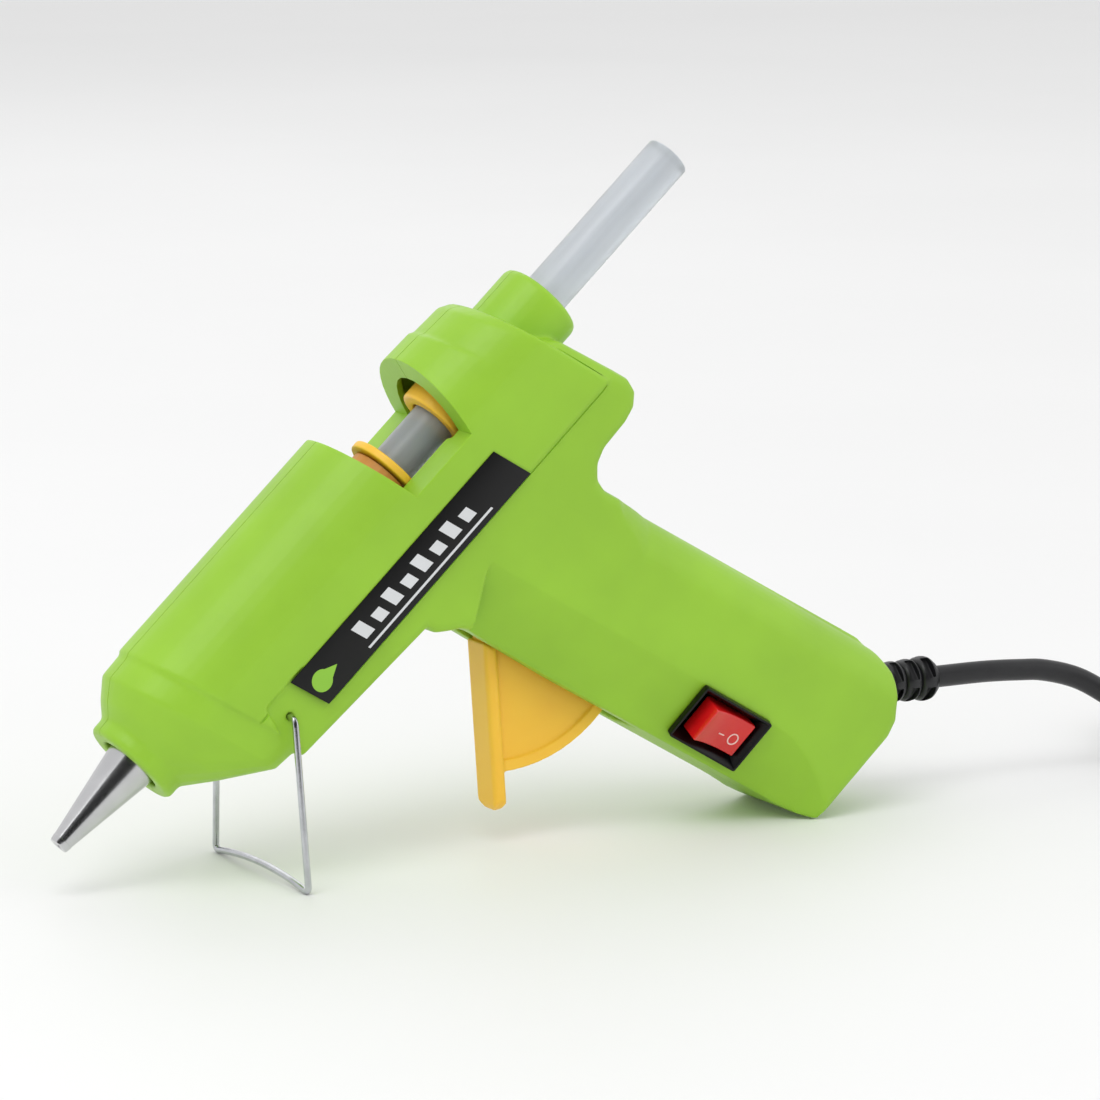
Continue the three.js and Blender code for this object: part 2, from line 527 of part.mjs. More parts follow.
// The rocker is drawn level about its pivot, then tipped half a throw toward the off mark.
const throwHalf = THREE.MathUtils.degToRad(14);
const rocker = [[-7.1, 4.4], [0, 3.3], [7.1, 4.4], [7.1, -1.4], [4.5, -3], [-4.5, -3], [-7.1, -1.4]].map(([u, n]) => [
  u * Math.cos(throwHalf) + n * Math.sin(throwHalf),
  n * Math.cos(throwHalf) - u * Math.sin(throwHalf) + ROCKER_PIVOT,
]);
place("switch_rocker", inSwitch(loft([-4.8, 4.8].map((v) => rocker.map(([u, n]) => V(u, v, n))))), "red");
[-5, 1].forEach((u, i) =>
  place("switch_tab_" + (i + 1), inSwitch(block(u, u + 0.8, -3, 3, -16.4, -10.3)), "brass"));
place("strain_relief", (() => {
  const ribs = [0.4, 5.4, 10.4].flatMap((d) => [[d + 1.8, 3.6], [d + 1.8, 5.7], [d + 4.4, 5.7], [d + 4.4, 3.6]]);
  return leadHole([[-13, 2.95], [-13, 3.9], [-9.2, 3.9], [-9.2, 5.7], [-3.4, 5.7], [-3.4, 4.3], [0.4, 4.3],
    ...ribs, [16.6, 3.4], [16.6, 2.95]], 20);
})(), "black");

const lead = (name, points, finish) => place(name, wire(points.map((p) => V(...p)), 0.75, 2.5, 8), finish);
lead("lead_live", [[97.2, -2.4, -9.1], [106, -10, -14], [126, -13, -24], [131, -11.6, -50], [136, -9.6, -80], [137.6, -7.4, -92]], "brown");
lead("lead_neutral", [[97.2, 2.4, -11], [106, 10, -14], [126, 12.5, -26], [136, 12, -60], [148, 8, -96], [153.5, 2.2, -117.4]], "blue");
lead("lead_feed", [[141, -6, -104], [147, -4.6, -110], [152.2, -2.2, -115.6]], "brown");
place("cord_clamp", leadHole([[-20, 2.95], [-20, 4.6], [-15.6, 4.6], [-15.6, 2.95]], 24), "black");

// ---- mains cord, coiled on the floor behind the grip --------------------------------------------
const coilR = COIL.radius;
const landing = [
  [BOOT[0] - 24, 0, BOOT[2]], [BOOT[0] + 17, 0, BOOT[2]], [135, 0, 27.8], [145, 0, 27.2], [151.7, 0, 26.5],
  [162, -1, 23.5], [171.5, -3.7, 17.7], [180.2, -8.2, 11.3], [188, -14.2, 6], [194.7, -21.6, 3.4],
];
const landingCurve = new THREE.CatmullRomCurve3(landing.map((p) => V(...p)), false, "centripetal");
place("cord_lead", wire(landingCurve.getPoints(30), CORD_R, 0, 10), "black", root);
const coilRing = (r0, r1, z0, z1, segments) => {
  const c = 2.4;
  const g = new THREE.LatheGeometry([[r0 + c, z0], [r1 - c, z0], [r1, z0 + c], [r1, z1 - c], [r1 - c, z1],
    [r0 + c, z1], [r0, z1 - c], [r0, z0 + c], [r0 + c, z0]].map(([x, y]) => new THREE.Vector2(x, y)), segments);
  return weld(g.rotateX(Math.PI / 2)).translate(COIL.x, COIL.y, 0);
};
const besideLead = [[182, -5.7], [190.2, -11.9], [197.1, -19.6], [197.9, -20.6], [190.5, -26.8], [170, -22], [170, -5.7]];
const clearOfLead = loft([-1, 9.6].map((z) => besideLead.map(([x, y]) => V(x, y, z))));
place("cord_coil", cut(coilRing(coilR - COIL.half, coilR + COIL.half, 0, COIL.height, 40), clearOfLead), "black", root);
place("cord_tie", (() => {
  const ring = (x0, x1, z0, z1) => weld(new THREE.BoxGeometry(x1 - x0, 7, z1 - z0)).translate((x0 + x1) / 2, COIL.y, (z0 + z1) / 2);
  const [a, b] = [COIL.x + coilR - COIL.half - 0.3, COIL.x + coilR + COIL.half + 0.3];
  return cut(ring(a - 1, b + 1, 0.02, COIL.height + 1.3), ring(a, b, -1, COIL.height + 0.3));
})(), "black", root);
place("cord_tail", wire([V(191.9, -13.8, 14.5), V(195.8, -18.7, 15.9), V(200.9, -22.5, 17.2), V(206.7, -25, 18.1),
  V(PLUG[0], PLUG[1], PLUG[2]), V(PLUG[0] + 6, PLUG[1], PLUG[2])], CORD_R, 4, 10), "black", root);
const plugRing = (x, half, tall) => Array.from({ length: 16 }, (_, i) => {
  const a = (2 * Math.PI * (i + 0.5)) / 16;
  const k = (v) => Math.sign(v) * Math.sqrt(Math.abs(v));
  return V(PLUG[0] + x, PLUG[1] + half * k(Math.cos(a)), PLUG[2] + tall * k(Math.sin(a)));
});
place("plug_body", cut(
  loft([plugRing(0, 5, 4.6), plugRing(12, 6.2, 5.4), plugRing(22, 11.6, 6.6), plugRing(35, 12.6, 6.9)]),
  weld(new THREE.CylinderGeometry(3.05, 3.05, 20, 20)).rotateZ(Math.PI / 2).translate(PLUG[0], PLUG[1], PLUG[2]),
  ...[-9.5, 9.5].map((y) => weld(new THREE.CylinderGeometry(2.3, 2.3, 20, 20)).rotateZ(Math.PI / 2)
    .translate(PLUG[0] + 35, PLUG[1] + y, PLUG[2])),
), "black", root);
[-9.5, 9.5].forEach((y, i) => place("plug_pin_" + (i + 1),
  weld(new THREE.CylinderGeometry(2, 2, 28, 20)).rotateZ(Math.PI / 2).translate(PLUG[0] + 40, PLUG[1] + y, PLUG[2]),
  "steel", root));

export default root;
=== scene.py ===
"""Looks of a trigger-fed hot-melt glue gun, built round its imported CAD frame. Lengths are in millimetres
until a mesh is made, and in metres from then on."""

import json
import math

import bmesh
import bpy
import numpy as np
from mathutils import Matrix, Vector


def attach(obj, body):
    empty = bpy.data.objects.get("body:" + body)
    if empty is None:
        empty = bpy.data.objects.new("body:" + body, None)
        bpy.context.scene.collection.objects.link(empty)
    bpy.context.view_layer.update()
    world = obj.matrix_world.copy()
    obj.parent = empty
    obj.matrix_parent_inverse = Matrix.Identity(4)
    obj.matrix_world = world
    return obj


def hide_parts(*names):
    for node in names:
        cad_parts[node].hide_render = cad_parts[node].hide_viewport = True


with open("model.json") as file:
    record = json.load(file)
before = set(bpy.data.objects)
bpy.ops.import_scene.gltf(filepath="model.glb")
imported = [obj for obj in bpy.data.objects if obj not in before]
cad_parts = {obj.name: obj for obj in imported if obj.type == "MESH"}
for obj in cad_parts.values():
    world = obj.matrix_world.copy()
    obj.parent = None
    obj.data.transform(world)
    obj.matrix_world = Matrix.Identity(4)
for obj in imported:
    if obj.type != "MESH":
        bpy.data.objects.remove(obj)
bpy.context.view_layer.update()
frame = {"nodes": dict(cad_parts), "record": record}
MM = 0.001

# ---- camera --------------------------------------------------------------------------------------
AZIMUTH, ELEVATION = math.radians(29.07), math.radians(10.39)
EYE = (-0.61403, -1.1231, 0.30529)
lens = bpy.data.cameras.new("camera")
lens.lens, lens.sensor_width = 180, 36
lens.clip_start, lens.clip_end = 0.05, 60
camera = bpy.data.objects.new("camera", lens)
bpy.context.scene.collection.objects.link(camera)
camera.location = EYE
level = math.cos(ELEVATION)
ahead = Vector((math.sin(AZIMUTH) * level, math.cos(AZIMUTH) * level, -math.sin(ELEVATION)))
camera.rotation_mode = "QUATERNION"
camera.rotation_quaternion = ahead.to_track_quat("-Z", "Y")
bpy.context.scene.camera = camera
bpy.context.scene.view_settings.view_transform = "Standard"

# ---- the gun's own frame: s along the barrel, y across, h above its axis --------------------------
TILT = math.radians(42.96)
TIP = (-118.19, 0, 12.42)
GUN = Matrix.Translation(TIP) @ Matrix.Rotation(-TILT, 4, "Y")
TO_METRES = Matrix.Diagonal((MM, MM, MM, 1))
WORLD = Matrix.Identity(4)
BOOT = (103.09, 0, 27.94)
STICK_R, STICK = 5.5, (58, 219.4)
STAND_PIVOT, STAND_FOOT, STAND_HALF = (56.2, -13.6), (29.6, -43.9), 24.6
CORD_R = 2.75
COIL = (225.5, 0)
PLUG = (213.9, -26, 18.5)
PLATE = [(61.5, -7.4), (133.8, -7.4), (136.9, -18.4), (64.6, -18.4)]
FACET = math.radians(23.5)
FACET_EDGE = ((116.3, -27), (139.5, -108.3))
SWITCH_U, ROCKER_PIVOT, FRAME_W = 77.5, -1.4, 18.2
THROW_HALF = math.radians(14)


# ---- meshes --------------------------------------------------------------------------------------
def from_bmesh(name, bm):
    mesh = bpy.data.meshes.new(name)
    bm.to_mesh(mesh)
    bm.free()
    obj = bpy.data.objects.new(name, mesh)
    bpy.context.scene.collection.objects.link(obj)
    return obj


def make(name, verts, faces, place=GUN):
    bm = bmesh.new()
    made = [bm.verts.new(v) for v in verts]
    for f in faces:
        bm.faces.new([made[i] for i in f])
    bmesh.ops.remove_doubles(bm, verts=bm.verts, dist=1e-4)
    bmesh.ops.recalc_face_normals(bm, faces=bm.faces)
    bm.transform(TO_METRES @ place)
    return from_bmesh(name, bm)


def bake(obj):
    """Applies every modifier."""
    graph = bpy.context.evaluated_depsgraph_get()
    mesh = bpy.data.meshes.new_from_object(obj.evaluated_get(graph))
    obj.modifiers.clear()
    old, obj.data = obj.data, mesh
    bpy.data.meshes.remove(old)
    return obj


def shade(obj, angle=35):
    obj.data.shade_smooth()
    obj.data.set_sharp_from_angle(angle=math.radians(angle))
    return obj


def bevel(obj, width, segments=3, angle=30):
    m = obj.modifiers.new("bevel", "BEVEL")
    m.width, m.segments, m.limit_method, m.angle_limit = width * MM, segments, "ANGLE", math.radians(angle)
    m.harden_normals = False
    return bake(obj)


def combine(obj, other, operation):
    m = obj.modifiers.new("cut", "BOOLEAN")
    m.operation, m.solver, m.object = operation, "MANIFOLD", other
    bake(obj)
    bpy.data.objects.remove(other)
    return obj


def cut(obj, *cutters):
    for c in cutters:
        combine(obj, c, "DIFFERENCE")
    return obj


def remesh(obj, voxel, smooth):
    m = obj.modifiers.new("voxels", "REMESH")
    m.mode, m.voxel_size, m.use_smooth_shade = "VOXEL", voxel * MM, True
    m = obj.modifiers.new("smooth", "SMOOTH")
    m.factor, m.iterations = 0.5, smooth
    return bake(obj)


def cad_copy(name, *nodes):
    bm = bmesh.new()
    for n in nodes:
        bm.from_mesh(frame["nodes"][n].data)
    bmesh.ops.remove_doubles(bm, verts=bm.verts, dist=2e-6)
    return from_bmesh(name, bm)


def rounded(points, radius, steps=4, closed=True):
    """The same polygon or path with each corner rounded; works in two or three dimensions."""
    points = [Vector(p) for p in points]
    n, out = len(points), []
    for i, p in enumerate(points):
        if not closed and i in (0, n - 1):
            out.append(p)
            continue
        a, b = points[i - 1] - p, points[(i + 1) % n] - p
        turn = math.pi - a.angle(b)
        reach = min(radius * math.tan(turn / 2), 0.46 * a.length, 0.46 * b.length)
        a, b = p + a.normalized() * reach, p + b.normalized() * reach
        for k in range(steps + 1):
            t = k / steps
            out.append(a * (1 - t) ** 2 + p * (2 * t * (1 - t)) + b * t * t)
    return out


def turned(name, profile, segments=96, place=GUN):
    """Closed profile of (along, radius) turned about the local X axis."""
    verts, faces, n = [], [], len(profile)
    for j in range(segments):
        a = 2 * math.pi * j / segments
        verts += [(p[0], max(p[1], 0) * math.cos(a), max(p[1], 0) * math.sin(a)) for p in profile]
    for j in range(segments):
        for i in range(n):
            k, nxt = (j + 1) % segments, (i + 1) % n
            faces.append((j * n + i, j * n + nxt, k * n + nxt, k * n + i))
    return make(name, verts, faces, place)


def slab(name, points, y0, y1, place=GUN):
    """Polygon in the local X-Z plane carried from y0 to y1."""
    n = len(points)
    verts = [(p[0], y, p[1]) for y in (y0, y1) for p in points]
    faces = [tuple(range(n)), tuple(range(2 * n - 1, n - 1, -1))]
    faces += [(i, (i + 1) % n, n + (i + 1) % n, n + i) for i in range(n)]
    return make(name, verts, faces, place)


def block(name, lo, hi, place=GUN):
    return slab(name, [(lo[0], lo[2]), (hi[0], lo[2]), (hi[0], hi[2]), (lo[0], hi[2])], lo[1], hi[1], place)


def tube(name, path, radius, sides=20, place=GUN, closed=False):
    """Round tube along a path; radius is a number or one number for each point."""
    path = [Vector(p) for p in path]
    n = len(path)
    radii = radius if hasattr(radius, "__len__") else [radius] * n
    tangents = []
    for i in range(n):
        before = path[i - 1] if closed or i else path[i]
        after = path[(i + 1) % n] if closed or i + 1 < n else path[i]
        tangents.append((after - before).normalized())
    side = Vector((0, 1, 0)) if abs(tangents[0].y) < 0.8 else Vector((1, 0, 0))
    verts, faces = [], []
    for p, t, r in zip(path, tangents, radii):
        side = (side - t * side.dot(t)).normalized()
        up = t.cross(side)
        for j in range(sides):
            a = 2 * math.pi * j / sides
            verts.append(p + side * (r * math.cos(a)) + up * (r * math.sin(a)))
    for i in range(n if closed else n - 1):
        for j in range(sides):
            k, m = (i + 1) % n, (j + 1) % sides
            faces.append((i * sides + j, i * sides + m, k * sides + m, k * sides + j))
    if not closed:
        faces += [tuple(range(sides)), tuple(range(n * sides - 1, (n - 1) * sides - 1, -1))]
    return make(name, verts, faces, place)


def between(a, b, ta, tb, x):
    return a * ((tb - x) / (tb - ta)) + b * ((x - ta) / (tb - ta))


def spline(points, per_leg):
    """Centripetal Catmull-Rom curve through the points."""
    pts = [Vector(p) for p in points]
    pts = [pts[0] * 2 - pts[1], *pts, pts[-1] * 2 - pts[-2]]
    out = []
    for i in range(1, len(pts) - 2):
        p = pts[i - 1 : i + 3]
        t = [0]
        for a, b in zip(p, p[1:]):
            t.append(t[-1] + max((b - a).length, 1e-6) ** 0.5)
        for k in range(per_leg):
            x = t[1] + (t[2] - t[1]) * k / per_leg
            a1, a2, a3 = (between(p[j], p[j + 1], t[j], t[j + 1], x) for j in range(3))
            b1, b2 = between(a1, a2, t[0], t[2], x), between(a2, a3, t[1], t[3], x)
            out.append(between(b1, b2, t[1], t[2], x))
    return [*out, pts[-2]]


# ---- materials -----------------------------------------------------------------------------------
def srgb(*levels):
    """Linear colour from 8-bit display levels."""
    scaled = [v / 255 for v in levels]
    return tuple(v / 12.92 if v <= 0.04045 else ((v + 0.055) / 1.055) ** 2.4 for v in scaled)


def material(name, colour, rough, vary=0.05, vary_scale=40, grain=0.3, grain_scale=2400, depth=0.02,
             rough_vary=0.07, stretch=1, **sockets):
    """Principled shader whose colour drifts, whose roughness varies and whose surface has a fine grain,
    drawn out along the barrel by stretch. Scales are per metre and depth is in millimetres; other sockets
    take constants."""
    m = bpy.data.materials.new(name)
    m.use_nodes = True
    nodes, links = m.node_tree.nodes, m.node_tree.links
    shader = nodes["Principled BSDF"]
    coords = nodes.new("ShaderNodeTexCoord")
    mapping = nodes.new("ShaderNodeMapping")
    mapping.vector_type = "TEXTURE"
    mapping.inputs["Rotation"].default_value = (0, -TILT, 0)
    mapping.inputs["Scale"].default_value = (stretch, 1, 1)
    links.new(coords.outputs["Object"], mapping.inputs["Vector"])

    def noise(scale, detail):
        n = nodes.new("ShaderNodeTexNoise")
        n.inputs["Scale"].default_value, n.inputs["Detail"].default_value = scale, detail
        links.new(mapping.outputs["Vector"], n.inputs["Vector"])
        return n.outputs["Fac"]

    ramp = nodes.new("ShaderNodeValToRGB")
    dark = [c * (1 - vary) for c in colour]
    light = [min(1, c * (1 + vary)) for c in colour]
    ramp.color_ramp.elements[0].position, ramp.color_ramp.elements[1].position = 0.34, 0.66
    ramp.color_ramp.elements[0].color = (*dark, 1)
    ramp.color_ramp.elements[1].color = (*light, 1)
    links.new(noise(vary_scale, 3), ramp.inputs["Fac"])
    links.new(ramp.outputs["Color"], shader.inputs["Base Color"])

    ranged = nodes.new("ShaderNodeMapRange")
    ranged.inputs["To Min"].default_value = max(0.02, rough - rough_vary)
    ranged.inputs["To Max"].default_value = min(1, rough + rough_vary)
    links.new(noise(grain_scale * 0.3, 4), ranged.inputs["Value"])
    links.new(ranged.outputs["Result"], shader.inputs["Roughness"])

    bump = nodes.new("ShaderNodeBump")
    bump.inputs["Strength"].default_value = grain
    bump.inputs["Distance"].default_value = depth * MM
    links.new(noise(grain_scale, 2), bump.inputs["Height"])
    links.new(bump.outputs["Normal"], shader.inputs["Normal"])
    for key, value in sockets.items():
        shader.inputs[key.replace("_", " ")].default_value = value
    return m


GREEN, ORANGE = (0.3, 0.56, 0.03), (1.0, 0.56, 0.045)
soft = {"Subsurface_Weight": 0.25, "Subsurface_Radius": (1, 1, 0.4), "Subsurface_Scale": 0.0012}
green = material("green_plastic", GREEN, 0.42, vary=0.05, grain=0.5, depth=0.03,
                 Specular_IOR_Level=0.45, **soft)
orange = material("orange_plastic", ORANGE, 0.4, vary=0.05, grain=0.35, Specular_IOR_Level=0.45, **soft)
black = material("black_plastic", srgb(18, 18, 21), 0.42, vary=0.2, grain=0.4, depth=0.03,
                 Specular_IOR_Level=0.35)
gloss_black = material("gloss_black", srgb(7, 7, 9), 0.3, vary=0.2, grain=0.12, grain_scale=900,
                       Specular_IOR_Level=0.3)
label = material("label_film", srgb(13, 13, 14), 0.4, vary=0.15, vary_scale=120, grain=0.25,
                 grain_scale=1500, Specular_IOR_Level=0.3)
ink = material("label_ink", srgb(214, 216, 218), 0.4, vary=0.03, grain=0.2)
lime_ink = material("label_lime", srgb(140, 196, 56), 0.4, vary=0.04, grain=0.2)
red = material("red_plastic", srgb(214, 22, 24), 0.2, vary=0.06, grain=0.15, grain_scale=900,
               Coat_Weight=0.4, Subsurface_Weight=0.3, Subsurface_Radius=(1, 0.2, 0.15),
               Subsurface_Scale=0.002)
mark = material("switch_mark", srgb(250, 214, 208), 0.4, vary=0.03, grain=0.1)
pvc = material("black_pvc", srgb(22, 22, 25), 0.38, vary=0.15, vary_scale=200, grain=0.35,
               grain_scale=1800, depth=0.03)
brown = material("brown_pvc", srgb(104, 62, 34), 0.45, vary=0.12, vary_scale=200)
blue = material("blue_pvc", srgb(38, 88, 170), 0.45, vary=0.1, vary_scale=200)
steel = material("bright_steel", srgb(196, 198, 202), 0.2, vary=0.08, vary_scale=300, grain=0.3,
                 grain_scale=3000, depth=0.008, Metallic=1)
chrome = material("nozzle_plating", srgb(206, 206, 208), 0.2, vary=0.05, vary_scale=120, grain=0.4,
                  grain_scale=5000, depth=0.006, Metallic=1)
alloy = material("cast_alloy", srgb(170, 172, 175), 0.45, vary=0.12, vary_scale=180, grain=0.6,
                 grain_scale=1200, depth=0.08, Metallic=1)
brass = material("brass_strip", srgb(206, 164, 76), 0.3, vary=0.1, vary_scale=260, Metallic=1)
ceramic = material("ptc_ceramic", srgb(222, 214, 200), 0.7, vary=0.06, vary_scale=400, grain=0.6,
                   depth=0.05)
film = material("amber_film", srgb(186, 116, 36), 0.35, vary=0.12, vary_scale=160)
silicone = material("silicone", srgb(208, 138, 58), 0.5, vary=0.05, vary_scale=160, grain=0.4)
glue = material("hot_melt_glue", srgb(214, 219, 224), 0.3, vary=0.05, vary_scale=500, grain=0.4,
                grain_scale=900, depth=0.05, stretch=30, Subsurface_Weight=0.7,
                Subsurface_Radius=(1, 1.05, 1.1), Subsurface_Scale=0.004, Transmission_Weight=0.65,
                IOR=1.48)


def dress(obj, finish, body, slot, *nodes):
    """Gives a finished piece its material and body, and hides the CAD nodes that it stands for. The slot
    argument is not used.
    """
    obj.data.materials.clear()
    obj.data.materials.append(finish)
    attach(obj, body)
    if nodes:
        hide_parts(*nodes)
    return obj


FINISHES = {"bright_steel": steel, "cast_alloy": alloy, "brass_strip": brass, "amber_film": film,
            "ptc_ceramic": ceramic, "silicone": silicone, "brown_pvc": brown, "blue_pvc": blue,
            "black_plastic": black, "black_pvc": pvc, "orange_plastic": orange, "hot_melt_glue": glue,
            "red_plastic": red, "green_plastic": green, "black_label": label, "nozzle_plating": chrome}
for row in frame["record"]["subparts"]:
    data = frame["nodes"][row["node"]].data
    data.materials.clear()
    data.materials.append(FINISHES[row["material_slot"]])

# ---- mains cord ----------------------------------------------------------------------------------
LOW = CORD_R + 0.02  # height of the turns that lie on the floor
TURN_R, PITCH = 32, 5.6
OUTER, INNER = TURN_R + PITCH, TURN_R - PITCH
ENTRY = 215  # degrees round the coil where the lead runs in
LANDING = [(105, 0, 27.94), (112, 0, 27.94), (120.09, 0, 27.94), (135, 0, 27.8), (145, 0, 27.2),
           (151.7, 0, 26.5), (162, -1, 23.5), (171.5, -3.7, 17.7), (180.2, -8.2, 11.3), (188, -14.2, 6),
           (194.7, -21.6, 3.4)]
LANES = [OUTER, TURN_R, INNER, INNER, TURN_R, OUTER, OUTER]
TAIL_R = 26
EARLY = OUTER * math.radians(30)  # how far before leaving the coil the tail starts to climb


def ease(x):
    x = min(1, max(0, x))
    return x * x * (3 - 2 * x)


def climb(run):
    """Height of the tail as it leaves the top turn for the plug, by the length run so far."""
    return LOW + PITCH + (PLUG[2] - LOW - PITCH) * ease(run / (EARLY + TAIL_R * math.pi / 2))


def coil_point(past):
    """A point of the winding, in degrees past the entry: three turns inward on the floor, then three
    outward on top of them. Each turn changes lane over its last 40 degrees, and the tail starts to climb
    at the end."""
    turn = int(min(past // 360, 5))
    step = ease((past - 360 * turn - 320) / 40)
    r = LANES[turn] + (LANES[turn + 1] - LANES[turn]) * step
    z = LOW + PITCH * (turn > 2)
    if turn == 0:
        z += 0.6 * (1 - ease(past / 20))
    if turn == 2:
        r, z = r - 3.2 * math.sin(math.pi * step), LOW + PITCH * step
    if turn == 5:
        z = climb(OUTER * math.radians(past - 2095))
    a = math.radians(ENTRY + past)
    return Vector((COIL[0] + r * math.cos(a), COIL[1] + r * math.sin(a), z))


route = spline(LANDING, 4)[:-1] + [coil_point(10 * k) for k in range(213)]
for k in range(10):
    a = math.pi / 2 * (k / 9)
    route.append(Vector((PLUG[0] - TAIL_R * math.cos(a), -TAIL_R * math.sin(a), climb(EARLY + TAIL_R * a))))
route += [Vector((PLUG[0] + 3, PLUG[1], PLUG[2])), Vector((PLUG[0] + 6, PLUG[1], PLUG[2]))]
curve = bpy.data.curves.new("mains_cord", "CURVE")
curve.dimensions, curve.resolution_u, curve.use_fill_caps = "3D", 4, True
curve.bevel_depth, curve.bevel_resolution = CORD_R * MM, 6
line = curve.splines.new("BEZIER")
line.bezier_points.add(len(route) - 1)
for knot, p in zip(line.bezier_points, route):
    knot.co = p * MM
    knot.handle_left_type = knot.handle_right_type = "AUTO"
curve.materials.append(pvc)
cord = bpy.data.objects.new("mains_cord", curve)
bpy.context.scene.collection.objects.link(cord)
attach(cord, "frame")
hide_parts("cord_lead", "cord_coil", "cord_tail")

# ---- plug, tie and strain relief -----------------------------------------------------------------
plug = shade(remesh(cad_copy("mains_plug", "plug_body"), 0.35, 6), 60)
dress(plug, black, "frame", "black_plastic", "plug_body")
pins = []
for i, y in enumerate((-9.5, 9.5)):
    at = Matrix.Translation((PLUG[0], PLUG[1] + y, PLUG[2]))
    bare = rounded([(44.6, 0), (44.6, 1.75), (45.2, 1.97), (54, 1.97), (54, 0)], 1.1, 5)
    pin = shade(turned(f"mains_plug_pin_{i + 1}", bare, 48, at))
    dress(pin, steel, "frame", "bright_steel", f"plug_pin_{i + 1}")
    sleeve = rounded([(27, 0), (27, 1.9), (44.6, 1.9), (44.6, 0)], 0.2, 2)
    cover = shade(turned(f"mains_plug_sleeve_{i + 1}", sleeve, 48, at))
    dress(cover, black, "frame", "black_plastic")
    pins += [pin, cover]

TIE_X, TIE_HALF = COIL[0] + TURN_R, 3.4
wrap = [(TIE_X + x, 0, z) for x, z in ((-9.1, 0.3), (9.1, 0.3), (9.1, 11.9), (-9.1, 11.9))]
loop = [(p.x, p.z) for p in rounded(wrap, 4, 8)]
middle = Vector((TIE_X, 6.1))
inner = [tuple(middle + (Vector(p) - middle) * 0.935) for p in loop]
tie = slab("cord_tie_strap", loop, COIL[1] - TIE_HALF, COIL[1] + TIE_HALF, WORLD)
cut(tie, slab("hole", inner, COIL[1] - 9, COIL[1] + 9, WORLD))
tab = block("tab", (TIE_X - 2, COIL[1] - TIE_HALF, 11.7), (TIE_X + 6.6, COIL[1] + TIE_HALF, 12.5), WORLD)
combine(tie, tab, "UNION")
dress(shade(bevel(tie, 0.18, 2)), black, "frame", "black_plastic", "cord_tie")

at = Matrix.Translation(BOOT)
sleeve = [(-13, 2.95), (-13, 3.8), (-9.3, 3.8), (-9.3, 5.6), (-3.5, 5.6), (-3.5, 4.25), (1.4, 4.25),
          (1.4, 5)]
for middle_x, r in ((3.5, 5.15), (7.9, 5.3), (12.5, 5.6)):
    turns = np.linspace(math.pi, 0, 9)
    sleeve += [(middle_x + 2.25 * math.cos(t), r - 1.1 + 1.1 * math.sin(t)) for t in turns]
sleeve += [(15.4, 4.2), (16, 3.3), (16.2, 2.95)]
relief = turned("strain_relief_sleeve", [tuple(p) for p in sleeve], 96, at)
for quarter in range(4):
    turn = at @ Matrix.Rotation(math.radians(45 + 90 * quarter), 4, "X")
    for x0, x1 in ((2.4, 4.4), (6.7, 9.1), (11.2, 13.6)):
        cut(relief, bevel(block("pocket", (x0, -2.9, 3.55), (x1, 2.9, 9), turn), 0.35, 2))
dress(shade(bevel(relief, 0.16, 2, 40), 50), pvc, "frame", "black_plastic", "strain_relief")
lean = Matrix(((1, 0, -0.24, 0), (0, 1, 0, 0), (0, 0, 1, 0), (0, 0, 0, 1)))
skirt = rounded([(-0.9, 4.3), (-0.9, 6.9), (0.5, 6.9), (2.6, 4.9), (2.6, 4.3)], 0.7, 4)
collar = shade(turned("strain_relief_skirt", skirt, 96, at @ lean), 50)
dress(collar, pvc, "frame", "black_plastic")

# ---- housing -------------------------------------------------------------------------------------
housing = cad_copy("housing_shell", "housing_left", "housing_right")
for v in housing.data.vertices:  # run the halves into each other, so that one skin covers both
    if abs(abs(v.co.y) - 0.12 * MM) < 0.01 * MM:
        v.co.y = -math.copysign(0.35 * MM, v.co.y)
remesh(housing, 0.5, 7)
WINDOW = [(112.9, -0.2), (108.4, 22), (137, 22), (132.7, -0.2)]
cut(housing, slab("window", WINDOW, -40, 40))
BRACKET = [(60.2, -8.4), (49.6, -8.6), (51.2, -16.2), (48, -19.8)]
STEP = [(63, -18.8), (166.4, -18.8), (161.4, 0.2)]
for sign in (1, -1):
    bracket = rounded([(s, 19.1 * sign, h) for s, h in BRACKET], 0.6, 4, closed=False)
    cut(housing, tube("bracket", bracket, 0.42, 8))
    step = rounded([(s, 18.35 * sign, h) for s, h in STEP], 2.4, 5, closed=False)
    cut(housing, tube("step", step, 0.3, 8))
cut(housing, slab("seam", [(-20, -170), (240, -170), (240, 60), (-20, 60)], -0.1, 0.1))
dress(shade(housing, 38), green, "frame", "green_plastic", "housing_left", "housing_right")

# ---- label ---------------------------------------------------------------------------------------
plate = bevel(slab("label_face", PLATE, -19.3, -19), 0.08, 2)
dress(shade(plate), label, "frame", "black_label", "label_plate")
PRINT_Y = (-19.34, -19.28)


def printed(name, points, finish):
    return dress(shade(slab(name, points, *PRINT_Y)), finish, "frame", "black_label")


DROP, DROP_R = (67.2, -13.1), 2.7
drop = [(DROP[0] + DROP_R * math.cos(a), DROP[1] + DROP_R * math.sin(a))
        for a in np.linspace(0.6, 2 * math.pi - 0.6, 28)]
printed("label_drop", [*drop, (72.4, DROP[1])], lime_ink)
RAKE, BAR_FOOT = 0.28, -14.6
for i in range(8):
    s = 77.4 + 5.2 * i
    head = BAR_FOOT + (4.6 if i % 2 == 0 else 3.2)
    bar = [(s - RAKE * BAR_FOOT, BAR_FOOT), (s + 3 - RAKE * BAR_FOOT, BAR_FOOT),
           (s + 3 - RAKE * head, head), (s - RAKE * head, head)]
    printed(f"label_bar_{i + 1}", bar, ink)
printed("label_rule", [(80.6, -16.9), (124.6, -16.9), (124.4, -16.3), (80.4, -16.3)], ink)

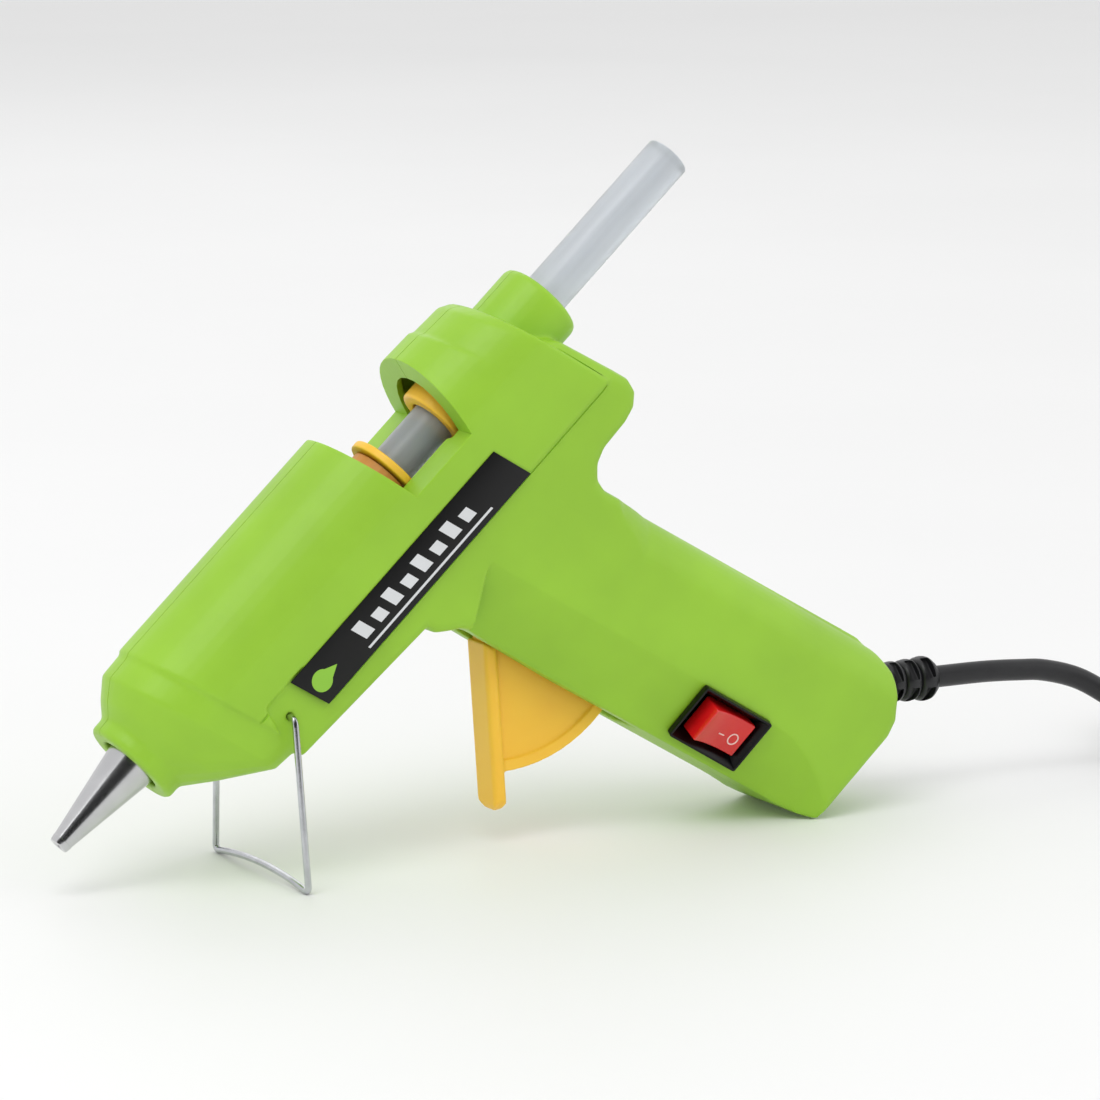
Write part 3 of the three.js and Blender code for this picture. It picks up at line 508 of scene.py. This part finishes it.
# ---- nozzle and glue stick -----------------------------------------------------------------------
cone = rounded([(0, 1.1), (0, 2.3), (1.6, 2.62), (1.6, 2.5), (26, 6.42), (33.6, 6.42), (33.6, 4.5), (41, 4.5),
                (41, 3), (9, 3), (4, 1.1)], 0.35, 4)
dress(shade(turned("nozzle_cone", cone, 128), 50), chrome, "frame", "nozzle_plating", "nozzle")
ends = rounded([(STICK[0], 0), (STICK[0], STICK_R), (STICK[1], STICK_R), (STICK[1], 0)], 0.5, 4)
dress(shade(turned("glue_stick_body", ends, 96), 50), glue, "stick", "hot_melt_glue", "glue_stick")

# ---- feed parts that show in the window ----------------------------------------------------------
disc = rounded([(115.3, 5.9), (115.3, 10.3), (117.3, 10.3), (117.3, 5.9)], 0.45, 4)
dress(shade(turned("guide_disc_ring", disc, 96), 50), orange, "frame", "orange_plastic", "guide_disc")
carriage = shade(remesh(cad_copy("carriage_body", "carriage"), 0.25, 5), 60)
dress(carriage, orange, "feed_carriage", "orange_plastic", "carriage")

# ---- trigger -------------------------------------------------------------------------------------
trigger = shade(remesh(cad_copy("trigger_body", "trigger"), 0.3, 7), 60)
dress(trigger, orange, "trigger", "orange_plastic", "trigger")

# ---- wire stand ----------------------------------------------------------------------------------
pivot_s, pivot_h = STAND_PIVOT
foot_s, foot_h = STAND_FOOT
leg = Vector((pivot_s - foot_s, 0, pivot_h - foot_h)).normalized()
foot = Vector((foot_s, 0, foot_h))
foot_bar = []
for k in range(13):
    y = STAND_HALF * (k / 6 - 1)
    foot_bar.append(foot + leg * (2 * (1 - (y / STAND_HALF) ** 2)) + Vector((0, y, 0)))
left_end = [Vector((pivot_s, y, pivot_h)) for y in (-14.6, -20.6)]
right_end = [Vector((pivot_s, y, pivot_h)) for y in (20.6, 14.6)]
path = left_end + foot_bar + right_end
wire = tube("stand_wire_bent", rounded(path, 2.4, 6, closed=False), 0.8, 20)
dress(shade(wire, 60), steel, "stand", "bright_steel", "stand_wire")

# ---- rocker switch -------------------------------------------------------------------------------
down = Vector((FACET_EDGE[1][0] - FACET_EDGE[0][0], 0, FACET_EDGE[1][1] - FACET_EDGE[0][1])).normalized()
front = Vector((-0.96, 0, -0.28)).normalized()
out = (Vector((0, -math.cos(FACET), 0)) + front * math.sin(FACET)).normalized()
fore = out.cross(down).normalized()
base = Vector((FACET_EDGE[0][0], -FRAME_W, FACET_EDGE[0][1])) + down * SWITCH_U
base += front * (7.6 * math.cos(FACET)) + Vector((0, 7.6 * math.sin(FACET), 0))
SWITCH = GUN @ Matrix(((down.x, fore.x, out.x, base.x), (down.y, fore.y, out.y, base.y),
                       (down.z, fore.z, out.z, base.z), (0, 0, 0, 1)))


def pan(name, size, z, place, corner):
    """Rounded rectangle of half size (u, v) between two heights."""
    u, v = size
    pts = rounded([(-u, -v), (u, -v), (u, v), (-u, v)], corner, 6)
    n = len(pts)
    verts = [(p.x, p.y, h) for h in z for p in pts]
    faces = [tuple(range(n)), tuple(range(2 * n - 1, n - 1, -1))]
    faces += [(i, (i + 1) % n, n + (i + 1) % n, n + i) for i in range(n)]
    return make(name, verts, faces, place)


def funnel(name, low, high, place):
    verts = [(u * a, v * b, h) for (a, b, h) in (low, high) for u, v in ((-1, -1), (1, -1), (1, 1), (-1, 1))]
    faces = [(0, 1, 2, 3), (7, 6, 5, 4)] + [(i, (i + 1) % 4, 4 + (i + 1) % 4, 4 + i) for i in range(4)]
    return make(name, verts, faces, place)


bezel = pan("switch_bezel", (10.6, 7.6), (0.25, 2.1), SWITCH, 0.7)
combine(bezel, pan("can", (9.5, 6.3), (-10, 1), SWITCH, 0.4), "UNION")
cut(bezel, funnel("well", (8.05, 5.05, -1.4), (10.6, 7.6, 3.0), SWITCH))
cut(bezel, pan("pit", (8.2, 5.1), (-7, 0.5), SWITCH, 0.3))
dress(shade(bevel(bezel, 0.22, 3), 40), gloss_black, "frame", "black_plastic", "switch_body")

rocker_frame = SWITCH @ Matrix.Translation((0, 0, ROCKER_PIVOT)) @ Matrix.Rotation(THROW_HALF, 4, "Y")
HALF_KEY, KEY_MIDDLE, KEY_DISH = 7.1, 3.3, 1.1


def key_height(u):
    return KEY_MIDDLE + KEY_DISH * (u / HALF_KEY) ** 2


key = [(u, key_height(u)) for u in np.linspace(-HALF_KEY, HALF_KEY, 17)]
key += [(HALF_KEY, -1.4), (4.5, -3), (-4.5, -3), (-HALF_KEY, -1.4)]
rocker = bevel(slab("switch_key", key, -4.8, 4.8, rocker_frame), 0.4, 4, 25)
dress(shade(rocker, 40), red, "rocker", "red_plastic", "switch_rocker")
ring = []
for a in np.linspace(0, 2 * math.pi, 37)[:-1]:
    u = 4.1 + 1.25 * math.cos(a)
    ring.append((u, -0.8 + 1.45 * math.sin(a), key_height(u) + 0.02))
dress(shade(tube("switch_mark_o", ring, 0.17, 8, rocker_frame, closed=True)), mark, "rocker", "red_plastic")
dash = [(u, -0.9, key_height(u) + 0.02) for u in (-0.7, 0.2, 1.1)]
dress(shade(tube("switch_mark_i", dash, 0.17, 8, rocker_frame)), mark, "rocker", "red_plastic")

# ---- floor and light -----------------------------------------------------------------------------
FLOOR_HALF = 30000


def sheet(name, half_length, half_width, height, finish):
    """Flat rectangle that is part of the studio."""
    corners = [(-half_length, -half_width), (half_length, -half_width), (half_length, half_width),
               (-half_length, half_width)]
    obj = make(name, [(x, y, height) for x, y in corners], [(0, 1, 2, 3)], WORLD)
    obj.data.materials.append(finish)
    return obj


pale = material("floor", (0.86, 0.86, 0.86), 0.6, vary=0.01, vary_scale=3, grain=0.1, grain_scale=300)
sheet("floor", FLOOR_HALF, FLOOR_HALF, -0.05, pale)


def area(name, place, size, power, aim=(0, 0, 0.06)):
    lamp = bpy.data.lights.new(name, "AREA")
    lamp.size, lamp.energy = size, power
    obj = bpy.data.objects.new(name, lamp)
    obj.location = place
    obj.rotation_mode = "QUATERNION"
    obj.rotation_quaternion = (Vector(aim) - Vector(place)).to_track_quat("-Z", "Y")
    bpy.context.scene.collection.objects.link(obj)


area("key", (-0.7, -0.6, 1.5), 1.0, 9)
area("fill", (1.2, -0.9, 0.8), 1.0, 1.5)
area("back", (0.2, 1.3, 1.1), 1.2, 3)
# A dark card over the barrel, which only reflections see, gives the bright metal its dark band.
CARD_AWAY = 0.7
card = sheet("card", 1300, 600, 0, material("card", (0.01, 0.01, 0.01), 0.9, vary=0.1, vary_scale=3))
barrel = (GUN.to_3x3() @ Vector((1, 0, 0))).normalized()
across_view = barrel.cross(ahead).normalized()
toward = across_view.cross(barrel).normalized()
card_at = Vector(TIP) * MM - toward * math.copysign(CARD_AWAY, toward.dot(ahead))
turned_card = Matrix((barrel, across_view, toward)).transposed().to_4x4()
card.matrix_world = Matrix.Translation(card_at) @ turned_card
card.visible_camera = card.visible_diffuse = card.visible_shadow = card.visible_transmission = False
world = bpy.data.worlds.new("studio")
bpy.context.scene.world = world
world.use_nodes = True
world.node_tree.nodes["Background"].inputs["Color"].default_value = (1, 1, 1, 1)
world.node_tree.nodes["Background"].inputs["Strength"].default_value = 0.85
